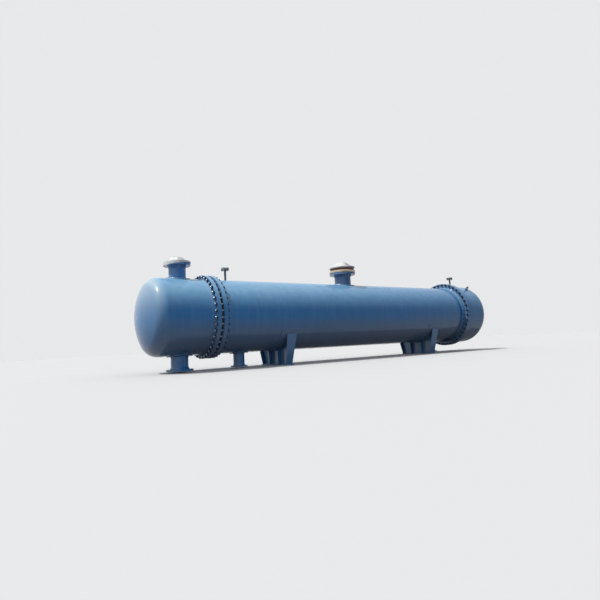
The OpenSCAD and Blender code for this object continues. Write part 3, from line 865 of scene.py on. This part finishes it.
saddle_paint = enamel("saddle_enamel", SADDLE_BLUE_PAINTED_LIGHT, DUST_AND_SKY_SHEEN, top_amount=0.20, top_from=0.30)
finish_nodes(SADDLE_NODES, saddle_paint)


def web_paths(x, side, wear_radius):
    """Where one side of the web meets the wear plate and the base plate."""
    face = x + side * PLATE_THICKNESS / 2
    from_horn = math.pi - HORN_ANGLE + HORN_END
    to_horn = math.pi + HORN_ANGLE - HORN_END
    return [
        arc_path(face, wear_radius + WEB_PROUD, from_horn, to_horn),
        line_path((face, -WEB_FOOT, BASE_THICKNESS), (face, WEB_FOOT, BASE_THICKNESS)),
    ]


def rib_paths(x, y, wear_radius):
    """Where one side of a rib meets the base plate and the wear plate."""
    foot, head = RIB_FOOT / 2, RIB_HEAD / 2
    z = axis_height - math.sqrt(wear_radius**2 - y * y)
    return [
        line_path((x - foot, y, BASE_THICKNESS), (x + foot, y, BASE_THICKNESS)),
        line_path((x - head, y, z), (x + head, y, z)),
    ]


def saddle_welds(name, pad):
    """The fillets of one saddle."""
    pad_low, pad_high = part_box(pad)
    x = (pad_low[0] + pad_high[0]) / 2
    wear_radius = shell_radius + WEAR_THICKNESS
    edge_radius = shell_radius + EDGE_PROUD
    pad_angle = math.acos((axis_height - pad_high[2]) / wear_radius)
    paths = []
    for edge in (pad_low[0], pad_high[0]):
        paths.append(arc_path(edge, edge_radius, math.pi - pad_angle, math.pi + pad_angle))
    for side in (-1, 1):
        y = side * edge_radius * math.sin(pad_angle)
        z = axis_height - edge_radius * math.cos(pad_angle)
        paths.append(line_path((pad_low[0], y, z), (pad_high[0], y, z)))
        paths += web_paths(x, side, wear_radius)
        for face in (-1, 1):
            rib_face = side * INNER_RIB_AT + face * PLATE_THICKNESS / 2
            paths += rib_paths(x, rib_face, wear_radius)
    beads = [weld_bead("fillet", path, SMALL_FILLET) for path in paths]
    dress(join(beads, name), nozzle_paint)


saddle_welds("fixed_saddle_welds", "fixed_saddle_pad")
saddle_welds("sliding_saddle_welds", "sliding_saddle_pad")

# Lifting lugs: two plates in the shell's enamel that stand on the cover, one on either side
# of its top. A fillet weld runs along both faces of each, where it meets the cover.
LUG_ANGLE = math.radians(33)
LUG_THICKNESS = 0.016


def lug_welds(lug, side):
    """The two fillets of one lug; side is 1 toward the viewer, -1 away."""
    low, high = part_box(lug)
    outward = Vector((0, -side * math.sin(LUG_ANGLE), math.cos(LUG_ANGLE)))
    along_round = Vector((0, outward.z, -outward.y))
    beads = []
    for face in (-1, 1):
        foot = outward * cover_radius + along_round * face * LUG_THICKNESS / 2
        start = Vector((low[0], 0, axis_height)) + foot
        end = Vector((high[0], 0, axis_height)) + foot
        beads.append(weld_bead("fillet", line_path(start, end), SMALL_FILLET))
    return beads


lug_beads = join(lug_welds("cover_front_lug", 1) + lug_welds("cover_back_lug", -1), "lug_welds")
dress(lug_beads, shell_paint)

# Cap of the channel's top nozzle: a steel blank lies on the flange, and a pale moulded cover
# is pushed over both. Its skirt hangs low on the left and rides up on the right, and its dome is
# creased. Its faces toward the sun on the left are painted lighter as painted sunlight, and the
# rest grey as painted shade.
CAP_GREY_PAINTED_SHADE = (0.46, 0.46, 0.48)
CAP_PAINTED_SUNLIT = (0.70, 0.71, 0.70)
CAP_GRIME = (0.32, 0.33, 0.31)
CAP_CLEARANCE = 0.001
CAP_WALL = 0.004
CAP_BRIM_HEIGHT = 0.042
CAP_SHOULDER_DROP = 0.010
CAP_SHOULDER_IN = 0.012
CAP_BRIM_RISE = 0.003
CAP_DOME_RADIUS = 0.300 / 2
CAP_DOME_FOOT = 0.025
CAP_DOME_LIP = 0.003
CAP_STEP = 0.012
CAP_ROUND = 0.008
SKIRT_BELOW_BRIM = 0.020
SKIRT_RISE = 0.052
SKIRT_TURN = 0.15
SKIRT_RIPPLE = 0.006
CREASE_DEPTH = 0.007
BLANK_BELOW_BRIM = 0.004
BLANK_ROUND = 0.003
ROUND_SHARE = 0.4
DISC_STEPS = 96
DOME_STEPS = 8

cap_low, cap_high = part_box("channel_top_cover")
cap_x = (cap_low[0] + cap_high[0]) / 2
cap_radius = (cap_high[0] - cap_low[0]) / 2
cap_outside = cap_radius + CAP_CLEARANCE + CAP_WALL
cap_brim = cap_low[2] + CAP_BRIM_HEIGHT
skirt_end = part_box("channel_top_nozzle")[1][2] - PIPE_250["flange_thickness"]


def matt_sheet(name, colour, grime, sunward_colour):
    """Matt sheet or board, uneven, grimy in patches, and in a sunward colour where it looks toward
    -X, a painted sunlit side.
    """
    material, tree, shader = new_material(name)
    dirt = noise(tree, scale=11.0, detail=6.0)
    amount = spread(tree, (dirt, "Fac"), (0.45, 0.75), (0.0, 0.6))
    sunward = spread(tree, (facing(tree), "X"), (-0.08, -0.30), (0.0, 1.0))
    ground = blend_colour(tree, (sunward, "Result"), colour, sunward_colour)
    surface = blend_colour(tree, (amount, "Result"), (ground, "Result"), grime)
    link(tree, (surface, "Result"), (shader, "Base Color"))
    shader.inputs["Roughness"].default_value = 0.48
    relief(tree, shader, noise(tree, scale=24.0, detail=3.0), strength=0.35, depth=0.004)
    return material


def rounded(points, amount):
    """A (radius, height) profile with each inner corner cut by a three-point round."""
    corners = [Vector(point) for point in points]
    profile = [points[0]]
    for before, corner, after in zip(corners, corners[1:], corners[2:]):
        to_before = before - corner
        to_after = after - corner
        start = corner + to_before.normalized() * min(amount, to_before.length * ROUND_SHARE)
        end = corner + to_after.normalized() * min(amount, to_after.length * ROUND_SHARE)
        profile += [tuple(start), tuple((start + end) / 4 + corner / 2), tuple(end)]
    profile.append(points[-1])
    return profile


def disc_profile(radius, bottom, top, amount):
    """The (radius, height) profile of a flat disc with rounded edges."""
    return rounded([(0.0, bottom), (radius, bottom), (radius, top), (0.0, top)], amount)


def dome_profile(rim, start, end):
    """Points of a round dome above its rim, up to its crown on the axis."""
    height = end - start
    ball = (rim * rim + height * height) / (2 * height)
    span = math.asin(rim / ball)
    angles = [span * (1 - i / DOME_STEPS) for i in range(1, DOME_STEPS + 1)]
    return [(ball * math.sin(a), start + height - ball + ball * math.cos(a)) for a in angles]


def ripple(angle):
    """A wave between -1 and 1 round a rim, with no plain repeat."""
    slow = 0.5 * math.sin(5 * angle + 0.6)
    middling = 0.3 * math.sin(11 * angle + 2.1)
    fast = 0.2 * math.sin(17 * angle)
    return slow + middling + fast


def skirt_rise(bearing):
    """How far the skirt's edge rides up, at a bearing from -X."""
    rise = SKIRT_RISE * (1 - math.cos(bearing - SKIRT_TURN)) / 2
    return max(0.0, rise + SKIRT_RIPPLE * ripple(bearing))


def crease(bearing, outward):
    """The height of the folds in the dome: none at its middle and the rim, most between."""
    fold = math.cos(3 * bearing - 0.4) + 0.6 * math.cos(7 * bearing + 1.0 + 3 * outward)
    return CREASE_DEPTH * (fold - 1.0) * outward * max(0.0, 1 - outward) * 3


cap_wall_profile = rounded(
    [
        (cap_radius + CAP_CLEARANCE, skirt_end),
        (cap_outside, skirt_end),
        (cap_outside, cap_brim - CAP_SHOULDER_DROP),
        (cap_radius - CAP_SHOULDER_IN, cap_brim),
        (CAP_DOME_RADIUS + CAP_DOME_FOOT, cap_brim + CAP_BRIM_RISE),
        (CAP_DOME_RADIUS + CAP_DOME_LIP, cap_brim + CAP_STEP),
    ],
    CAP_ROUND,
)
cap_dome_profile = dome_profile(CAP_DOME_RADIUS, cap_brim + CAP_STEP, cap_high[2])
cap = lathe("channel_cap", cap_wall_profile + cap_dome_profile, DISC_STEPS)
for vertex in cap.data.vertices:
    bearing = math.atan2(vertex.co.y, -vertex.co.x)
    if vertex.co.z < cap_brim - SKIRT_BELOW_BRIM:
        vertex.co.z += skirt_rise(bearing)
    elif vertex.co.z > cap_brim:
        vertex.co.z += crease(bearing, math.hypot(vertex.co.x, vertex.co.y) / cap_radius)
cap.data.transform(Matrix.Translation((cap_x, 0, 0)))
dress(cap, matt_sheet("cap_plastic", CAP_GREY_PAINTED_SHADE, CAP_GRIME, CAP_PAINTED_SUNLIT))
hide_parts("channel_top_cover")
blank_profile = disc_profile(cap_radius, cap_low[2], cap_brim - BLANK_BELOW_BRIM, BLANK_ROUND)
steel_blank = lathe("channel_blank", blank_profile, DISC_STEPS)
steel_blank.data.transform(Matrix.Translation((cap_x, 0, 0)))
dress(steel_blank, nozzle_paint)

# Closure of the shell's top nozzle: a cream board on the flange, a red-brown packing ring and
# a moulded lid with a flat brim and a low dome, painted lavender grey as painted shade and sky
# reflection, and painted lighter on its left as painted sunlight. The rims are a little out of
# round.
BOARD_CREAM = (0.70, 0.56, 0.42)
BOARD_GRIME = (0.34, 0.27, 0.20)
BOARD_OVERHANG = 0.003
BOARD_ROUND = 0.006
PACKING_BROWN = (0.11, 0.050, 0.032)
PACKING_OVERHANG = 0.004
PACKING_BULGE = 0.012
PACKING_ROUND = 0.012
LID_LAVENDER_PAINTED_SHADE = (0.36, 0.33, 0.43)
LID_PAINTED_SUNLIT = (0.68, 0.67, 0.62)
LID_GRIME = (0.30, 0.28, 0.32)
LID_FOOT_IN = 0.006
LID_OVERHANG = 0.003
LID_WIDEST_AT = 0.014
LID_SHOULDER_IN = 0.004
LID_BRIM_HEIGHT = 0.040
LID_BRIM_EDGE = 0.006
LID_BRIM_RISE = 0.002
LID_DOME_RADIUS = 0.360 / 2
LID_DOME_FOOT = 0.012
LID_DOME_RISE = 0.006
LID_ROUND = 0.010
RIM_UNEVENNESS = 0.006
PACKING_UNEVENNESS = 0.010
RIPPLE_TURN = 9

blank_low, blank_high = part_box("shell_top_blank")
packing_low, packing_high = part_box("shell_top_packing")
lid_low, lid_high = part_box("shell_top_cover")
top_x = (blank_low[0] + blank_high[0]) / 2
blank_radius = (blank_high[0] - blank_low[0]) / 2
packing_radius = (packing_high[0] - packing_low[0]) / 2
packing_middle = (packing_low[2] + packing_high[2]) / 2
lid_brim = lid_low[2] + LID_BRIM_HEIGHT


def worn_disc(name, profile, unevenness):
    """A turned disc at the shell's top nozzle, with its rim a little out of round."""
    disc = lathe(name, profile, DISC_STEPS)
    for vertex in disc.data.vertices:
        bearing = math.atan2(vertex.co.y, vertex.co.x)
        factor = 1 + unevenness * ripple(bearing + RIPPLE_TURN * vertex.co.z)
        vertex.co.x *= factor
        vertex.co.y *= factor
    disc.data.transform(Matrix.Translation((top_x, 0, 0)))
    return disc


board_profile = disc_profile(
    blank_radius + BOARD_OVERHANG, blank_low[2], blank_high[2], BOARD_ROUND
)
board = worn_disc("closure_board", board_profile, RIM_UNEVENNESS)
dress(board, matt_sheet("board_cream", BOARD_CREAM, BOARD_GRIME, BOARD_CREAM))
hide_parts("shell_top_blank")
packing_profile = rounded(
    [
        (0.0, packing_low[2]),
        (packing_radius + PACKING_OVERHANG, packing_low[2]),
        (packing_radius + PACKING_BULGE, packing_middle),
        (packing_radius + PACKING_OVERHANG, packing_high[2]),
        (0.0, packing_high[2]),
    ],
    PACKING_ROUND,
)
packing = worn_disc("packing_ring", packing_profile, PACKING_UNEVENNESS)
dress(packing, fibre("packing_fibre", PACKING_BROWN))
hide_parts("shell_top_packing")
lid_wall_profile = rounded(
    [
        (0.0, lid_low[2]),
        (blank_radius - LID_FOOT_IN, lid_low[2]),
        (blank_radius + LID_OVERHANG, lid_low[2] + LID_WIDEST_AT),
        (blank_radius - LID_SHOULDER_IN, lid_brim - LID_BRIM_EDGE),
        (LID_DOME_RADIUS + LID_DOME_FOOT, lid_brim + LID_BRIM_RISE),
    ],
    LID_ROUND,
)
lid_dome_profile = dome_profile(LID_DOME_RADIUS, lid_brim + LID_DOME_RISE, lid_high[2])
lid = worn_disc("nozzle_lid", lid_wall_profile + lid_dome_profile, RIM_UNEVENNESS)
dress(lid, matt_sheet("lid_plastic", LID_LAVENDER_PAINTED_SHADE, LID_GRIME, LID_PAINTED_SUNLIT))
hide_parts("shell_top_cover")
